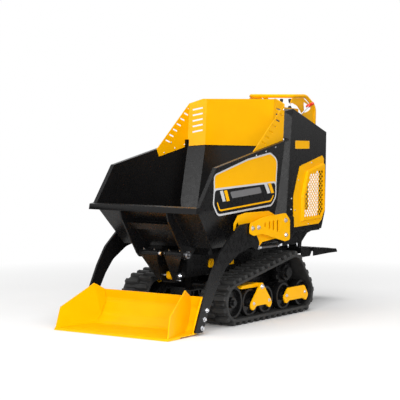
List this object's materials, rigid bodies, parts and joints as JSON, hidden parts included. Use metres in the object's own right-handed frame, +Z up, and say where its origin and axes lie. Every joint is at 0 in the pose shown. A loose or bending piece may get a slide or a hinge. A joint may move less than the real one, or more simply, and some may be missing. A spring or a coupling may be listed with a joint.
{
  "type": "crawler carrier with tipping skip and self-loading bucket",
  "caption": "Small tracked carrier with a front-tipping skip, a yellow side guard, a self-loading bucket on two curved arms, an engine housing and a fold-down operator step.",
  "frame": {"origin": "on the ground, at the middle of the footprint between the bucket's lip and the step's rear edge", "axes": "+X to the machine's left, +Y to its rear, +Z up; the skip's nose and the bucket point to -Y"},
  "size_m": [0.81, 2.055, 1.2725],
  "materials": {
    "black_paint": "semi-gloss black powder coat",
    "yellow_paint": "satin yellow powder coat",
    "track_rubber": "matt black rubber",
    "steel": "bare steel",
    "chrome_rod": "polished hard chrome",
    "black_plastic": "matt black plastic",
    "red_plastic": "satin red plastic",
    "engine_grey": "dark engine castings"
  },
  "bodies": {
    "chassis": {"chassis_frame": "black_paint", "pivot_bracket": "black_paint", "tip_base_pin": "steel", "track_l": "track_rubber", "track_r": "track_rubber", "rollers_l": "black_paint", "rollers_r": "black_paint", "sprockets": "black_paint", "idlers": "black_paint", "track_frames": "black_paint", "bogie_plates_front": "yellow_paint", "bogie_plates_rear": "yellow_paint", "tension_arms": "yellow_paint", "lashing_eyes": "yellow_paint", "loader_support": "black_paint", "loader_bracket_l": "yellow_paint", "loader_bracket_r": "yellow_paint", "housing_side_l": "black_paint", "housing_side_r": "black_paint", "housing_front": "black_paint", "housing_rear": "black_paint", "housing_roof": "black_paint", "grille_frames": "yellow_paint", "grille_meshes": "yellow_paint", "engine_block": "engine_grey", "handlebar": "yellow_paint", "handle_sides": "yellow_paint", "control_box": "yellow_paint", "levers": "black_plastic", "red_handle": "red_plastic", "step_brackets": "black_paint"},
    "skip": {"skip_body": "black_paint", "skip_rim": "black_paint", "skip_ribs": "black_paint", "skip_pins": "steel", "tip_lug": "black_paint", "guard": "yellow_paint"},
    "tip_cylinder": {"tip_barrel": "black_paint"},
    "tip_piston": {"tip_rod": "chrome_rod"},
    "loader": {"loader_arm_l": "black_paint", "loader_arm_r": "black_paint", "bucket_shell": "yellow_paint", "bucket_edge": "steel"},
    "lift_cylinder_l": {"lift_barrel_l": "black_paint"},
    "lift_piston_l": {"lift_rod_l": "chrome_rod"},
    "lift_cylinder_r": {"lift_barrel_r": "black_paint"},
    "lift_piston_r": {"lift_rod_r": "chrome_rod"},
    "step": {"step_plate": "black_paint"}
  },
  "joints": [
    {"name": "skip_tip", "type": "hinge", "parent": "chassis", "child": "skip", "pos_m": [0, -0.5405, 0.399], "axis": [1, 0, 0], "range_deg": [0, 70]},
    {"name": "loader_lift", "type": "hinge", "parent": "chassis", "child": "loader", "pos_m": [0, -0.2395, 0.534], "axis": [-1, 0, 0], "range_deg": [0, 125]},
    {"name": "step_fold", "type": "hinge", "parent": "chassis", "child": "step", "pos_m": [0, 0.7225, 0.335], "axis": [1, 0, 0], "range_deg": [0, 85]},
    {"name": "tip_cylinder_swing", "type": "hinge", "parent": "chassis", "child": "tip_cylinder", "pos_m": [0, -0.4625, 0.27], "axis": [1, 0, 0], "range_deg": [0, 61.7]},
    {"name": "tip_piston_slide", "type": "slide", "parent": "tip_cylinder", "child": "tip_piston", "axis": [0, 0.9143, 0.4049], "range_m": [0, 0.16857]},
    {"name": "lift_cylinder_l_swing", "type": "hinge", "parent": "chassis", "child": "lift_cylinder_l", "pos_m": [0.338, 0.1025, 0.44], "axis": [1, 0, 0], "range_deg": [-9, 0]},
    {"name": "lift_piston_l_slide", "type": "slide", "parent": "lift_cylinder_l", "child": "lift_piston_l", "axis": [0, -1, 0], "range_m": [0, 0.1879]},
    {"name": "lift_cylinder_r_swing", "type": "hinge", "parent": "chassis", "child": "lift_cylinder_r", "pos_m": [-0.338, 0.1025, 0.44], "axis": [1, 0, 0], "range_deg": [-9, 0]},
    {"name": "lift_piston_r_slide", "type": "slide", "parent": "lift_cylinder_r", "child": "lift_piston_r", "axis": [0, -1, 0], "range_m": [0, 0.1879]}
  ],
  "couplings": [
    {"joint": "tip_cylinder_swing", "follows": "skip_tip", "ratio": 0.87949},
    {"joint": "tip_piston_slide", "follows": "skip_tip", "m_per_rad": 0.13757},
    {"joint": "lift_cylinder_l_swing", "follows": "loader_lift", "ratio": -0.070885},
    {"joint": "lift_piston_l_slide", "follows": "loader_lift", "m_per_rad": 0.085898},
    {"joint": "lift_cylinder_r_swing", "follows": "loader_lift", "ratio": -0.070885},
    {"joint": "lift_piston_r_slide", "follows": "loader_lift", "m_per_rad": 0.085898}
  ]
}
